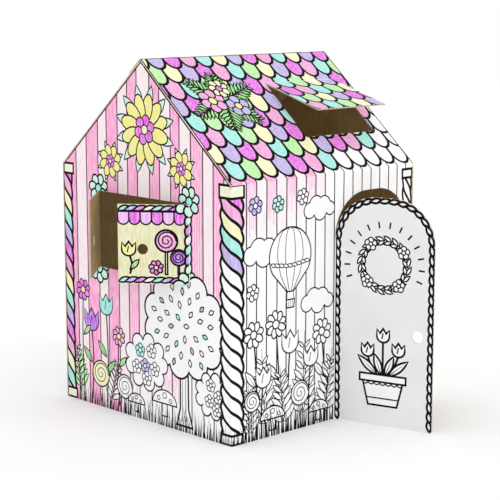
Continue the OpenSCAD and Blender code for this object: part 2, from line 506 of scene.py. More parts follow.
def slope_point(s, depth=0.0):
    """Place of a point s up the front slope and that deep under it, in from the front and up."""
    c, sn = math.cos(PITCH), math.sin(PITCH)
    return s * c + depth * sn, EAVE_H + s * sn - depth * c


RISE = (BOARD + GLUE_GAP) / math.sin(2 * PITCH)
RIDGE_S = SLOPE_L + RISE
ridge_y, ridge_z = slope_point(RIDGE_S)
flap_edge = (ridge_y + RIDGE_FLAP_W * math.cos(PITCH), ridge_z - RIDGE_FLAP_W * math.sin(PITCH))
roof_profile = Bend([(0, EAVE_H - 100), (0, EAVE_H), (ridge_y, ridge_z), flap_edge], zero=1, outside=1)
back_roof_profile = Bend([(0, EAVE_H - 100), (0, EAVE_H), slope_point(SLOPE_L)], zero=1, outside=1)

GABLE_SHY = BOARD + GLUE_GAP
GABLE_DEEP = GABLE_SHY + FOLD_OUT
TUCK_LOW = 2 * RELIEF
TUCK_HIGH = SLOPE_L - 2 * RELIEF
SLIT = 0.8


def gable_face(y, z):
    """Distance in from a gable's face, y and z, with the rounded edges along the slopes."""
    far = y > GABLE_W / 2
    yy = GABLE_W - y if far else y
    s = yy * math.cos(PITCH) + (z - EAVE_H) * math.sin(PITCH)
    depth = yy * math.sin(PITCH) - (z - EAVE_H) * math.cos(PITCH)
    if depth >= GABLE_DEEP or not TUCK_LOW < s < TUCK_HIGH:
        return -LIFT, y, z
    a = (GABLE_DEEP - depth) / FOLD_OUT * math.pi / 2
    yy, z = slope_point(s, GABLE_DEEP - (FOLD_OUT + LIFT) * math.sin(a))
    return FOLD_OUT - (FOLD_OUT + LIFT) * math.cos(a), GABLE_W - yy if far else yy, z


def on_walls(u, z):
    """Left gable where u is below 0, front wall where it is above."""
    if z > EAVE_H - RELIEF:
        if u >= 0:
            return u, -LIFT, z
        return gable_face(-u, z)
    return (*walls_plan.point(u), z)


def on_right_gable(u, z):
    """Right gable seen from its side, u from the front."""
    if z > EAVE_H - RELIEF:
        depth, y, z = gable_face(u, z)
        return WALL_L - depth, y, z
    return (*back_plan.point(u - GABLE_W), z)


def on_back_wall(u, z):
    return (*back_plan.point(u), z)


def on_roof(x, s):
    return (x, *roof_profile.point(s))


def on_back_roof(u, s):
    y, z = back_roof_profile.point(s)
    return WALL_L - u, GABLE_W - y, z


def on_door(u, z):
    c, s = math.cos(DOOR_OPEN), math.sin(DOOR_OPEN)
    return DOOR_X + u * c - LIFT * s, -u * s - LIFT * c, z


def on_skylight_flap(x, s):
    a = PITCH - SKY_OPEN
    y, z = slope_point(SKY_CREASE)
    r = SKY_CREASE - s
    return x, y - r * math.cos(a) - LIFT * math.sin(a), z - r * math.sin(a) + LIFT * math.cos(a)


# Traditional patterns: planks, shingles, twisted columns, ropes and scallops

def planks(canvas, lines, low, high, width=4.8):
    """Joints between upright planks, each drawn by hand and so not quite straight."""
    for i, x in enumerate(lines):
        bow = 1.8 * math.sin(2.3 * i + 1)
        canvas.line([(x, low), (x + bow, (low + high) / 2), (x - bow / 2, high)], width)


def coloured_plank(canvas, x0, x1, low, high, colour, thin="faint"):
    """Colour between two joints. Where it stops short of the foot it ends in separate strokes."""
    if low <= 0:
        canvas.paint(box(x0, low, x1, high), colour)
        return
    strokes = 5
    step = (x1 - x0) / strokes
    for reach, tint in ((70, thin), (0, colour)):
        for i in range(strokes):
            end = low - reach + 26 * math.sin(2.7 * i + x0 + reach)
            canvas.paint([(x0 + step * (i + 0.15), end), (x0 + step * (i + 0.85), end - 7),
                          (x0 + step * (i + 1), high), (x0 + step * i, high)], tint)


def rope(canvas, points, width, pitch, colours, line=3.0, twist=0.2):
    """Pointed strands along a line of points, each slanting across it by its share of twist."""
    runs = [math.dist(a, b) for a, b in zip(points, points[1:])]
    total = sum(runs)
    count = max(2, round(total / pitch))
    step = total / count

    def beside(s, side):
        """Point at s along the line, off to its left by a share of the width."""
        s = min(max(s, 0), total)
        for (a, b), run in zip(zip(points, points[1:]), runs):
            if s <= run:
                break
            s -= run
        dx, dy = unit(b[0] - a[0], b[1] - a[1])
        return a[0] + dx * s - dy * side * width, a[1] + dy * s + dx * side * width

    overlap = 0.1 + 0.6 * abs(twist)
    for i in range(count):
        start = beside(step * (i - overlap), twist)
        end = beside(step * (i + 1 + overlap), -twist)
        canvas.outlined(lens(*start, *end, 0.62 * width), colours[i % len(colours)], line)


def ring(canvas, x0, x1, low, high, colour="bare", line=5.5):
    canvas.outlined(box(x0, low, x1, high), colour, line)


def column(canvas, x0, x1, low, high, pitch, colours, line=6.5, slant=1.5, phase=0.95):
    """Twisted column: bands that wind down from left to right between bulging sides."""
    drop = pitch * slant
    mid = (x0 + x1) / 2
    half = (x1 - x0) / 2

    def divider(top, steps=10):
        turns = [i / steps for i in range(steps + 1)]
        return [(mid - half * math.cos(math.pi * t), top - drop * t) for t in turns]

    def bulge(start, end, x):
        return smooth([start, (x, (start[1] + end[1]) / 2), end], 4)

    def inside(points):
        return [(x, min(max(y, low), high)) for x, y in points]

    lines = []
    for i in range(math.ceil((high - low) / pitch) + 3):
        top = high + (slant + phase - i) * pitch
        upper, lower = divider(top), divider(top - pitch)
        right = bulge(upper[-1], lower[-1], x1 + 0.2 * half)
        left = bulge(upper[0], lower[0], x0 - 0.2 * half)
        canvas.paint(inside(upper + right[1:-1] + lower[::-1] + left[::-1][1:-1]), colours(i - 1))
        lines += [upper, right, left]
    for points in lines:
        clipped = [p for p in points if low <= p[1] <= high]
        if len(clipped) > 1:
            canvas.line(clipped, line)


SHINGLE_W = 70.7
SHINGLE_ROUND = 46
SHINGLE_ROWS = (
    # Tip's distance up the slope, first centre, place of the first colour in the cycle, colours in the cycle
    (525, -14, 4, 5),
    (455, -50, 1, 6),
    (378, -20, 5, 6),
    (300, -55, 3, 6),
    (230, -30, 0, 6),
    (158, -66, 4, 6),
    (88, -50, 2, 6),
    (12, -15, 0, 6),
)
SHINGLE_COLOURS = ("rose", "aqua", "green", "cream", "lilac", "magenta")
FIVE_COLOURS = ("lilac", "magenta", "rose", "aqua", "cream")


def shingle(x, tip, top):
    half = SHINGLE_W / 2
    turns = [math.pi * i / 14 for i in range(15)]
    curve = [(x + half * math.cos(a), tip + SHINGLE_ROUND - SHINGLE_ROUND * math.sin(a)) for a in turns]
    return [(x + half, top)] + curve + [(x - half, top)]


def shingles(canvas, coloured, rows=SHINGLE_ROWS, across=WALL_L, line=10.5):
    """Fish-scale shingles from the lowest row up, each row over the one below."""
    for k in reversed(range(len(rows))):
        tip, first, start, cycle = rows[k]
        top = rows[k - 1][0] + 60 if k else RIDGE_S
        names = SHINGLE_COLOURS if cycle == 6 else FIVE_COLOURS
        for i in range(math.ceil((across - first) / SHINGLE_W) + 1):
            x = first + i * SHINGLE_W
            wobble = 2.5 * math.sin(3.1 * i + 1.7 * k)
            colour = names[(start + i) % cycle] if coloured(x, tip) else "bare"
            canvas.outlined(shingle(x, tip + wobble, top), colour, line)


def roof_coloured(x, tip):
    """Shingles at the lower right of the front slope weren't coloured in."""
    if tip < 50:
        return x < 520
    if tip < 120:
        return x < 730
    return x < (840 if tip < 250 else 2000)


def never(x, tip):
    return False


# Plain motifs that fill the places of the drawings

def bloom(canvas, x, y, r, petals, colour="bare", heart="bare", line=4.2):
    """Round-petalled flower."""
    for a in angles(petals, 0.3):
        petal = ellipse(*polar(x, y, 0.62 * r, a), 0.40 * r, 2.0 * r / petals + 0.05 * r, a, 16)
        canvas.outlined(petal, colour, line)
    canvas.outlined(ellipse(x, y, 0.32 * r, points=16), heart, line)


def leaf(canvas, x0, y0, x1, y1, width, colour="bare", line=4.2):
    canvas.outlined(lens(x0, y0, x1, y1, width), colour, line)
    canvas.line([(x0, y0), (x0 + 0.75 * (x1 - x0), y0 + 0.75 * (y1 - y0))], line * 0.6, 0.8)


def stalk(canvas, x0, y0, x1, y1, line=6.5, bow=8):
    canvas.line(smooth([(x0, y0), ((x0 + x1) / 2 + bow, (y0 + y1) / 2), (x1, y1)]), line)


def tulip(canvas, x, y, r, colour="bare", line=4.4):
    cup = sized(x, y, r, ((-1, 1), (-0.5, 0.45), (0, 1.15), (0.5, 0.45), (1, 1)))
    bowl = [polar(x, y, r, math.pi * i / 10, -0.9) for i in range(11)]
    canvas.outlined(cup + bowl, colour, line)
    canvas.line([(x - 0.2 * r, y - 0.4 * r), (x, y + 0.5 * r)], line * 0.7)


def lollipop(canvas, x, y, r, foot=0, colour="bare", line=5):
    """Spiral disc on a stick."""
    canvas.outlined(box(x - 0.1 * r, foot, x + 0.1 * r, y), "bare", line * 0.8)
    canvas.outlined(ellipse(x, y, r), colour, line)
    spiral = [polar(x, y, (1 - i / 44) * 0.9 * r, 0.36 * i) for i in range(40)]
    canvas.line(spiral, line * 0.75, 0.3)


def puffs(canvas, circles, line):
    """A cloud or a leafy crown: circles that run together."""
    for x, y, r in circles:
        canvas.paint(ellipse(x, y, r + line / 2), "ink")
    for x, y, r in circles:
        canvas.paint(ellipse(x, y, r - line / 2), "bare")


def cloud(canvas, x, y, r, line=4.6):
    parts = ((-1.3, 0, 0.7), (-0.5, 0.4, 0.85), (0.5, 0.35, 0.8), (1.25, 0, 0.6), (0, -0.15, 0.8))
    puffs(canvas, [(x + dx * r, y + dy * r, k * r) for dx, dy, k in parts], line)


def crown_of(x, y, r, bumps):
    return [(*polar(x, y, r, a, 0.86), 0.34 * r) for a in angles(bumps)] + [(x, y, 0.9 * r)]


def tree(canvas, x, y, r, foot, leaves, line):
    trunk = sized(x, foot, r, ((-0.24, 0), (-0.13, 0.4))) + sized(x, y, r, ((-0.12, 0), (0.12, 0)))
    trunk += sized(x, foot, r, ((0.14, 0.4), (0.27, 0)))
    canvas.outlined(trunk, "bare", line)
    for k in (-0.06, 0.05):
        canvas.line([(x + k * r, foot + 0.1 * r), (x + 0.8 * k * r, y - 0.6 * r)], line * 0.5, 0.7)
    puffs(canvas, crown_of(x, y, r, 11), line)
    for i in range(34):
        a = 2.4 * i
        root = polar(x, y, 0.17 * r * math.sqrt(i), a, 0.9)
        tint = leaves[i // 3 % len(leaves)] if i % 3 == 1 else "bare"
        canvas.outlined(lens(*root, *polar(*root, 0.17 * r, a), 0.1 * r), tint, line * 0.6)


def toadstool(canvas, x, y, r, line=5):
    stem = sized(x, y, r, ((-0.25, 0), (0.25, 0), (0.18, 0.9), (-0.18, 0.9)))
    cap = [polar(x, y + 0.7 * r, r, math.pi * i / 16, 0.75) for i in range(17)]
    canvas.outlined(stem, "bare", line)
    canvas.outlined(cap, "bare", line)
    for dx, dy, k in ((-0.5, 0.95, 0.12), (0, 1.15, 0.16), (0.5, 0.92, 0.11)):
        canvas.outlined(ellipse(x + dx * r, y + dy * r, k * r, points=12), "bare", line * 0.6)


def fern(canvas, x0, y0, x1, y1, size, colour="bare", line=3.8):
    """A frond with leaf pairs that shrink towards its tip."""
    pairs = 7
    dx, dy = x1 - x0, y1 - y0
    ux, uy = unit(dx, dy)
    for i in range(pairs):
        t = 0.16 + 0.78 * i / pairs
        px, py = x0 + dx * t, y0 + dy * t
        reach = size * (1 - 0.75 * t)
        for side in (-1, 1):
            tip = px + reach * (0.72 * ux - side * 0.8 * uy), py + reach * (0.72 * uy + side * 0.8 * ux)
            canvas.outlined(lens(px, py, *tip, reach * 0.34, points=5), colour, line)
    canvas.line([(x0, y0), (x1, y1)], line * 1.3, 0.6)


def grass(canvas, x0, x1, height, count, seed):
    """Tapered blades along the foot of a wall."""
    rng = random.Random(seed)
    for i in range(count):
        x = x0 + (x1 - x0) * (i + rng.random()) / count
        h = height * rng.uniform(0.35, 1)
        lean = rng.uniform(-0.28, 0.28) * h
        canvas.line(smooth([(x, 0), (x + 0.25 * lean, 0.5 * h), (x + lean, h)], 3), rng.uniform(3.8, 7), 1)


def air_balloon(canvas, x, y, r, line=5):
    """Balloon with gores, a band and a basket."""
    envelope = arc(x, y, r, -32, 212, 26) + [(x - 0.16 * r, y - 1.22 * r), (x + 0.16 * r, y - 1.22 * r)]
    basket = sized(x, y, r, ((-0.2, -1.5), (-0.17, -1.78), (0.17, -1.78), (0.2, -1.5)))
    for side in (-1, 1):
        canvas.line([(x + side * 0.14 * r, y - 1.2 * r), (x + side * 0.18 * r, y - 1.52 * r)], line * 0.6)
    canvas.outlined(basket, "bare", line)
    for k in (-0.1, 0.0, 0.1):
        canvas.line([(x + k * r, y - 1.54 * r), (x + k * 0.9 * r, y - 1.74 * r)], line * 0.4)
    canvas.outlined(envelope, "bare", line)
    for k in (-0.62, -0.24, 0.24, 0.62):
        turns = [0.5 * math.pi * t for t in (0, 0.25, 0.5, 0.75, 0.97)]
        gore = [(x + k * r * math.cos(a) ** 0.6, y + 0.98 * r * math.sin(a)) for a in turns]
        canvas.line([(x + k * 0.22 * r, y - 1.2 * r), (x + 0.75 * k * r, y - 0.62 * r)] + gore, line * 0.6)
    band = [(x - 0.93 * r, y - 0.22 * r), (x, y - 0.34 * r), (x + 0.93 * r, y - 0.22 * r)]
    rope(canvas, band, 0.2 * r, 0.2 * r, ["bare"], line * 0.7)


def wreath(canvas, x, y, r, line=5):
    for a in angles(20):
        for side in (-1, 1):
            tip = polar(x, y, r + side * 0.16 * r, a + 0.34)
            canvas.outlined(lens(*polar(x, y, r, a), *tip, 0.15 * r, points=5), "bare", line * 0.8)
    for a in (0.6, 2.2, 3.9, 5.4):
        bloom(canvas, *polar(x, y, r, a), 0.26 * r, 5, line=line * 0.7)


def potted_tulips(canvas, x, y, w, line=5.5):
    """Three tulips and broad leaves in a pot with a scalloped rim."""
    for k, high in ((-0.32, 0.95), (0, 1.25), (0.32, 1.0)):
        stalk(canvas, x + 0.4 * k * w, y + 0.6 * w, x + k * w, y + high * w, line * 1.1, bow=k * 12)
        tulip(canvas, x + k * w, y + (high + 0.1) * w, 0.13 * w, line=line)
    for k, dx, dy in ((-0.1, -0.42, 0.36), (0.1, 0.42, 0.34), (-0.02, -0.16, 0.42), (0.04, 0.18, 0.4)):
        leaf(canvas, x + k * w, y + 0.58 * w, x + (k + dx) * w, y + (0.58 + dy) * w, 0.14 * w, "bare", line)
    canvas.outlined(sized(x, y, w, ((-0.3, 0), (0.3, 0), (0.42, 0.48), (-0.42, 0.48))), "bare", line)
    canvas.outlined(box(x - 0.48 * w, y + 0.46 * w, x + 0.48 * w, y + 0.6 * w), "bare", line)
    for i in range(7):
        sx = x - 0.36 * w + 0.12 * w * i
        canvas.line(arc(sx, y + 0.46 * w, 0.06 * w, 180, 360, 6), line * 0.7)
    canvas.line([(x - 0.34 * w, y + 0.14 * w), (x + 0.34 * w, y + 0.14 * w)], line * 0.7)


# Panels

GABLE_LINES = (77, 136, 201, 248, 308, 360, 411, 475, 525, 580, 624, 678, 737, 786, 835)
FRONT_LINES = tuple(64 + 45 * i for i in range(18))
COLUMN_EDGE = 52
# Planks that begin before this place are coloured in
FRONT_COLOURED = 390
# The front wall's planks run this far up, under the lowest shingles
PLANK_TOP = EAVE_H + 60
CYCLE = ("magenta", "rose", "cream", "aqua", "lilac")


def left_colours(i):
    return CYCLE[i % len(CYCLE)]


def near_colours(i):
    """The near column is coloured in only near its top."""
    return CYCLE[i] if i < len(CYCLE) else "bare"


def no_colours(i):
    return "bare"


def coloured_front():
    """Number and both sides of each of the front wall's planks that is coloured in near the eave."""
    sides = zip((COLUMN_EDGE,) + FRONT_LINES, FRONT_LINES)
    return [(i, x0, x1) for i, (x0, x1) in enumerate(sides) if x0 < FRONT_COLOURED]


def plain_columns(canvas, low, pitch):
    """A column near each end of a wall that isn't coloured in."""
    for x in (10, 812):
        column(canvas, x, x + 48, low, 805, pitch, no_colours)
        ring(canvas, x - 4, x + 52, 798, 828)


def gable_outline():
    """Height beside the eaves, height of the peak and inset of a gable's printed face."""
    eave_y = BOARD + FOLD_IN + ROOT
    shy = GABLE_SHY + 1
    y_top = EAVE_H + eave_y * math.tan(PITCH) - shy / math.cos(PITCH)
    return y_top, RIDGE_H - shy / math.cos(PITCH), eave_y


def gable_bends(canvas, mirrored):
    """Guides along a gable's sloping edges, and slits where the tuck flaps end."""
    for far in (False, True):

        def flat(s, depth):
            y, z = slope_point(s, depth)
            y = GABLE_W - y if far else y
            return (y if mirrored else -y), z

        for k in range(6):
            depth = GABLE_DEEP - 0.16 * FOLD_OUT * k
            canvas.guide(flat(TUCK_LOW, depth), flat(TUCK_HIGH, depth))
        for s in (TUCK_LOW, TUCK_HIGH):
            low, high = s - SLIT / 2, s + SLIT / 2
            canvas.cut([flat(low, GABLE_DEEP), flat(high, GABLE_DEEP), flat(high, 0), flat(low, 0)])


def gable_edge_lines(canvas):
    """Printed line just under the roof along both slopes of the left gable."""
    for far in (False, True):
        run = [slope_point(s, GABLE_SHY + 2.5) for s in (4, SLOPE_L + 2)]
        canvas.line([(y - GABLE_W if far else -y, z) for y, z in run], 6)


def gable_floor(u):
    """How far down the left gable's planks are coloured in."""
    if u < 355:
        return 0
    return 190 if u < 620 else 478


def gable_art(canvas):
    canvas.origin = (-GABLE_W, 0)
    edges = (0,) + GABLE_LINES + (GABLE_W + 55,)
    for i, (x0, x1) in enumerate(zip(edges, edges[1:])):
        coloured_plank(canvas, x0, x1, gable_floor(x0), RIDGE_H, "pale" if i % 2 else "pink")
    planks(canvas, GABLE_LINES, 0, RIDGE_H)

    for x, y, r, petals, line, heart_line in (
            (450, 990, 118, 12, 5.2, 4.4), (268, 872, 56, 8, 4.2, 3.2), (632, 876, 56, 8, 4.2, 3.2)):
        for a in angles(petals, math.pi / petals):
            canvas.outlined(lens(*polar(x, y, 0.5 * r, a), *polar(x, y, 1.28 * r, a), 0.3 * r), "mint", 4.6)
        bloom(canvas, x, y, r, petals, "yellow", "cream", line)
        bloom(canvas, x, y, 0.42 * r, 6, "magenta", "cream", heart_line)

    for x in (WINDOW_Y, GABLE_W - WINDOW_Y):
        window_trim(canvas, x, WINDOW_Z, True)

    tree(canvas, 640, 360, 152, 20, ["aqua", "lilac"], 7.5)
    puffs(canvas, crown_of(445, 205, 84, 9), 5.5)
    for x, y, colour in ((415, 240, "aqua"), (474, 246, "bare"), (440, 190, "lilac"),
                         (490, 186, "bare"), (396, 180, "bare"), (448, 146, "bare")):
        bloom(canvas, x, y, 25, 5, colour, line=3.6)
    puffs(canvas, crown_of(782, 150, 66, 9), 5.5)
    for x, y in ((770, 184), (806, 150), (764, 130), (800, 106)):
        bloom(canvas, x, y, 22, 5, line=3.6)

    fern(canvas, 85, 20, 60, 215, 74, "green")
    fern(canvas, 250, 10, 300, 190, 70)
    for x, y, r, colour in ((150, 300, 40, "violet"), (232, 365, 36, "aqua")):
        stalk(canvas, x, 20, x, y)
        leaf(canvas, x, y * 0.35, x + 48, y * 0.35 + 50, 24, "leaf")
        leaf(canvas, x, y * 0.5, x - 46, y * 0.5 + 52, 24, "leaf")
        tulip(canvas, x, y, r, colour)
    for x, y, r, colour in ((104, 405, 38, "magenta"), (300, 268, 34, "rose")):
        stalk(canvas, x, 20, x, y, 5.5, -6)
        leaf(canvas, x, y * 0.6, x + 40, y * 0.6 + 40, 20, "green")
        bloom(canvas, x, y, r, 8, colour, "yellow")
    lollipop(canvas, 198, 118, 46, 0, "cream")
    lollipop(canvas, 330, 96, 42)
    toadstool(canvas, 540, 34, 62)
    toadstool(canvas, 392, 20, 44)
    grass(canvas, 5, 815, 92, 130, seed=3)

    column(canvas, 6, 48, 34, 812, 57.6, left_colours, line=10, slant=1.08, phase=1.19)
    ring(canvas, 7, 60, 811, 846, "ivory", 8)
    ring(canvas, 5, 58, 3, 36, "ivory", 8)
    canvas.origin = (0, 0)


def window_trim(canvas, x, low, coloured):
    """Rope up the side of a window, over its crease, with a round ornament at each end."""
    shades = ["magenta", "mint", "lilac", "aqua", "pale"] if coloured else ["bare"]
    rope(canvas, [(x, low + 4), (x, low + WINDOW_H - 4)], 36, 31, shades, 7, 0.2)
    for y in (low - 6, low + WINDOW_H + 8):
        bloom(canvas, x, y, 50, 7, "mint" if coloured else "bare", "aqua" if coloured else "bare", 6.5)


def front_art(canvas):
    for i, x0, x1 in coloured_front():
        coloured_plank(canvas, x0, x1, 668 + 0.4 * x0, PLANK_TOP, "rosy" if i % 2 else "pale", "pale")
    planks(canvas, FRONT_LINES, 0, PLANK_TOP)

    cloud(canvas, 140, 610, 44)
    cloud(canvas, 400, 730, 38)
    cloud(canvas, 392, 420, 40)
    air_balloon(canvas, 262, 590, 96)
    for x, y, r, colour in ((104, 770, 30, "lilac"), (318, 780, 27, "bare"),
                            (205, 766, 27, "aqua"), (92, 490, 28, "bare")):
        bloom(canvas, x, y, r, 6, colour)

    fern(canvas, 150, 0, 132, 300, 92)
    fern(canvas, 320, 0, 330, 330, 92)
    for x, y, r, petals in ((96, 352, 44, 8), (196, 372, 46, 9), (412, 316, 44, 8)):
        stalk(canvas, x + 12, 0, x, y)
        leaf(canvas, x + 12, 0.35 * y, x + 62, 0.35 * y + 62, 26)
        leaf(canvas, x + 10, 0.5 * y, x - 38, 0.5 * y + 60, 26)
        bloom(canvas, x, y, r, petals, line=5)
    for x, y, r in ((262, 300, 38), (360, 236, 34), (140, 200, 34), (446, 180, 30)):
        stalk(canvas, x - 6, 0, x, y, bow=-6)
        leaf(canvas, x - 6, 0.3 * y, x - 52, 0.3 * y + 56, 24)
        tulip(canvas, x, y, r, line=5)
    fern(canvas, 235, 0, 215, 230, 86)
    fern(canvas, 425, 0, 462, 250, 86)
    fern(canvas, 75, 0, 72, 190, 74)
    lollipop(canvas, 310, 122, 42)
    lollipop(canvas, 90, 132, 34)
    toadstool(canvas, 182, 20, 56)
    toadstool(canvas, 398, 12, 48)
    grass(canvas, 52, 474, 112, 64, seed=5)
    grass(canvas, 832, 866, 70, 8, seed=6)

    column(canvas, -43, 43, 32, 803, 52, near_colours, line=10.5)
    ring(canvas, -56, 54, 802, 843, "ivory", 8.5)
    ring(canvas, -50, 48, 2, 34, line=9)
    column(canvas, 818, 856, 0, 800, 52, no_colours, line=9)
    ring(canvas, 812, 862, 798, 828, line=9)
    grass(canvas, -62, 54, 74, 18, seed=7)


def arch_outline(x0, x1, low, high, r):
    spring = high - r
    return [(x0, low), (x1, low)] + arc(x1 - r, spring, r, 0, 90, 16) + arc(x0 + r, spring, r, 90, 180, 16)


def crease_room(opening):
    """From a crease to where the bend of a flap that stands open ends."""
    return FOLD_IN * math.tan(opening / 2) + ROOT


def make_walls():
    y_top, peak, eave_y = gable_outline()
    far = -(SEAM + 1)
    outline = [
        (far, 0), (SEAM + 1, 0), (SEAM + 1, EAVE_H - RELIEF), (WALL_L, EAVE_H - RELIEF), (WALL_L, EAVE_H - 3),
        (0, EAVE_H - 3), (0, EAVE_H - RELIEF + 0.5), (-eave_y, EAVE_H - RELIEF + 0.5), (-eave_y, y_top),
        (-GABLE_W / 2, peak), (-GABLE_W + eave_y, y_top), (-GABLE_W + eave_y, EAVE_H - RELIEF + 0.5),
        (far, EAVE_H - RELIEF),
    ]
    canvas = Canvas(outline)
    gable_art(canvas)
    front_art(canvas)
    for u in walls_plan.folds():
        if abs(u) < SEAM + FOLD_OUT:
            canvas.guide((u, 0), (u, EAVE_H - RELIEF))
    gable_bends(canvas, mirrored=False)
    gable_edge_lines(canvas)
    canvas.cut(box(-FOLD_OUT, EAVE_H - RELIEF - 0.2, FOLD_OUT, EAVE_H - RELIEF + 0.6))
    near_y = WINDOW_Y - crease_room(NEAR_OPEN)
    far_y = GABLE_W - WINDOW_Y + crease_room(FAR_OPEN)
    canvas.cut(box(-far_y, WINDOW_Z, -near_y, WINDOW_Z + WINDOW_H))
    canvas.cut(arch_outline(DOOR_X - crease_room(DOOR_OPEN), DOOR_X + DOOR_W, -1, DOOR_H, DOOR_ARCH_R))
    return canvas.build("print_walls", on_walls)


def make_roof():
    canvas = Canvas(box(0, -3, WALL_L, RIDGE_S + RIDGE_FLAP_W - 0.5))
    canvas.origin = (0, -EAVE_H)
    for i, x0, x1 in coloured_front():
        canvas.paint(box(x0, EAVE_H - 10, x1, PLANK_TOP), "pink" if i % 2 else "pale")
    canvas.paint(box(0, EAVE_H - 10, COLUMN_EDGE, PLANK_TOP), "pink")
    planks(canvas, FRONT_LINES, 0, PLANK_TOP)
    canvas.origin = (0, 0)
    ridge_flap_art(canvas)
    shingles(canvas, roof_coloured)
    roof_spray(canvas)
    for x in (2, WALL_L - 2):
        canvas.line([(x, 0), (x, RIDGE_S + RIDGE_FLAP_W)], 5)
    for s in roof_profile.folds():
        canvas.guide((0, s), (WALL_L, s))
    canvas.cut(box(SKY_X, SKY_CREASE - SKY_H, SKY_X + SKY_L, SKY_CREASE + crease_room(SKY_OPEN)))
    return canvas.build("print_roof", on_roof)


def ridge_flap_art(canvas):
    """The flap over the ridge carries a row of the back slope's shingles."""
    canvas.paint(box(0, RIDGE_S - 20, WALL_L, RIDGE_S + RIDGE_FLAP_W), "bare")
    for i in range(math.ceil(WALL_L / SHINGLE_W) + 1):
        outline = shingle((i + 0.2) * SHINGLE_W, RIDGE_S - 66, RIDGE_S + 30)
        canvas.outlined([(x, 2 * RIDGE_S - s) for x, s in outline], "bare", 10.5)


def roof_spray(canvas):
    """Leaves and blossoms lying on the shingles."""
    centre = (225, 360)
    for x, y in ((60, 300), (110, 470), (250, 500), (390, 430), (330, 250), (180, 220)):
        fern(canvas, *centre, x, y, 74, "leaf", 5)
    bloom(canvas, 175, 365, 54, 6, "rose", "yellow", 5.6)
    bloom(canvas, 270, 335, 48, 5, "lilac", "yellow", 5.6)
    bloom(canvas, 240, 420, 42, 7, "cream", "magenta", 5.6)


def make_skylight_flap():
    low = SKY_CREASE - SKY_H + CUT_GAP
    canvas = Canvas(box(SKY_X + CUT_GAP, low, SKY_X + SKY_L - CUT_GAP, SKY_CREASE - FOLD_IN))
    shingles(canvas, roof_coloured)
    return canvas.build("print_skylight_flap", on_skylight_flap)


def make_door():
    w = DOOR_LEAF
    spring = DOOR_H - CUT_GAP - DOOR_ARCH_R
    outline = [(FOLD_IN, 0), (w, 0)] + arc(w - DOOR_ARCH_R, spring, DOOR_ARCH_R, 0, 90, 16)
    outline += arc(DOOR_ARCH_R, spring, DOOR_ARCH_R, 90, 180, 16)[:-1] + [(FOLD_IN, spring)]
    # The door's ground and its rope are the white board greyed with painted shade
    canvas = Canvas(outline, "door_bare_painted_shade")
    inset = 10
    r = DOOR_ARCH_R - inset
    border = [(inset, 2), (inset, spring)] + arc(DOOR_ARCH_R, spring, r, 180, 90, 10)[1:]
    border += arc(w - DOOR_ARCH_R, spring, r, 90, 0, 10) + [(w - inset, 2)]
    rope(canvas, border, 26, 33, ["door_bare_painted_shade"], 8, -0.12)
    wreath_z = 548
    wreath(canvas, w / 2, wreath_z, 84, 6.5)
    for i in range(14):
        canvas.line([polar(w / 2, wreath_z, q, math.radians(-20 + 220 * i / 13)) for q in (124, 146)], 6)
    potted_tulips(canvas, w / 2, 70, 176, 7)
    canvas.cut(ellipse(w - DOOR_HOLE_EDGE, DOOR_HOLE_Z, DOOR_HOLE_R, points=48))
    return canvas.build("print_door", on_door)


def shutter_art(canvas, hinge_right, coloured):
    """Rope along the top and foot, scallops under the top rope and a bare panel with plain motifs."""
    def tint(name):
        return name if coloured else "bare"

    canvas.paint(box(0, 0, SHUTTER_W, SHUTTER_H), tint("straw"))
    scallops = 6
    step = (SHUTTER_W - 12) / scallops
    top = SHUTTER_H - 24
    for i in range(scallops):
        x = step * (i + 0.5) + (0 if hinge_right else 12)
        tongue = [(x - step / 2, top)] + arc(x, top - 24, step / 2, 180, 360, 10) + [(x + step / 2, top)]
        canvas.outlined(tongue, tint("magenta" if i % 2 else "blush"), 5)
    shades = [tint(c) for c in ("aqua", "lilac", "magenta", "pale")]
    for y in (13, SHUTTER_H - 13):
        rope(canvas, [(0, y), (SHUTTER_W, y)], 26, 31, shades, 6, -0.28)
    hole_x = SHUTTER_HOLE_EDGE if hinge_right else SHUTTER_W - SHUTTER_HOLE_EDGE
    side = 1 if hinge_right else -1
    x = hole_x + side * 78
    lollipop(canvas, x, 142, 36, 32, tint("rose"), 7)
    lollipop(canvas, x + side * 40, 88, 26, 32, tint("violet"), 6.4)
    stalk(canvas, hole_x - side * 42, 32, hole_x - side * 46, 100, 7)
    leaf(canvas, hole_x - side * 42, 46, hole_x - side * 12, 80, 17, tint("green"), 5)
    tulip(canvas, hole_x - side * 46, 112, 23, tint("yellow"), 6)
    bloom(canvas, x - side * 34, 54, 24, 7, tint("magenta"), tint("yellow"), 4.8)
    window_trim(canvas, SHUTTER_W - 3 if hinge_right else 3, -CUT_GAP, coloured)
    canvas.cut(ellipse(hole_x, SHUTTER_HOLE_Z, SHUTTER_HOLE_R, points=48))


def make_shutter(name, left, near, opening):
    """A shutter of the left or the right gable, on a crease that is near the front wall or far from it."""
    hinge_right = left == near
    c, s = math.cos(opening), math.sin(opening)

    def place(u, v):
        from_hinge = SHUTTER_W - u if hinge_right else u
        x = -from_hinge * s - LIFT * c
        y = WINDOW_Y + from_hinge * c - LIFT * s
        return x if left else WALL_L - x, y if near else GABLE_W - y, WINDOW_Z + CUT_GAP + v

    x0 = 0 if hinge_right else FOLD_IN
    canvas = Canvas(box(x0, 0, x0 + SHUTTER_W - FOLD_IN, SHUTTER_H))
    shutter_art(canvas, hinge_right, coloured=left)
    return canvas.build(name, place)


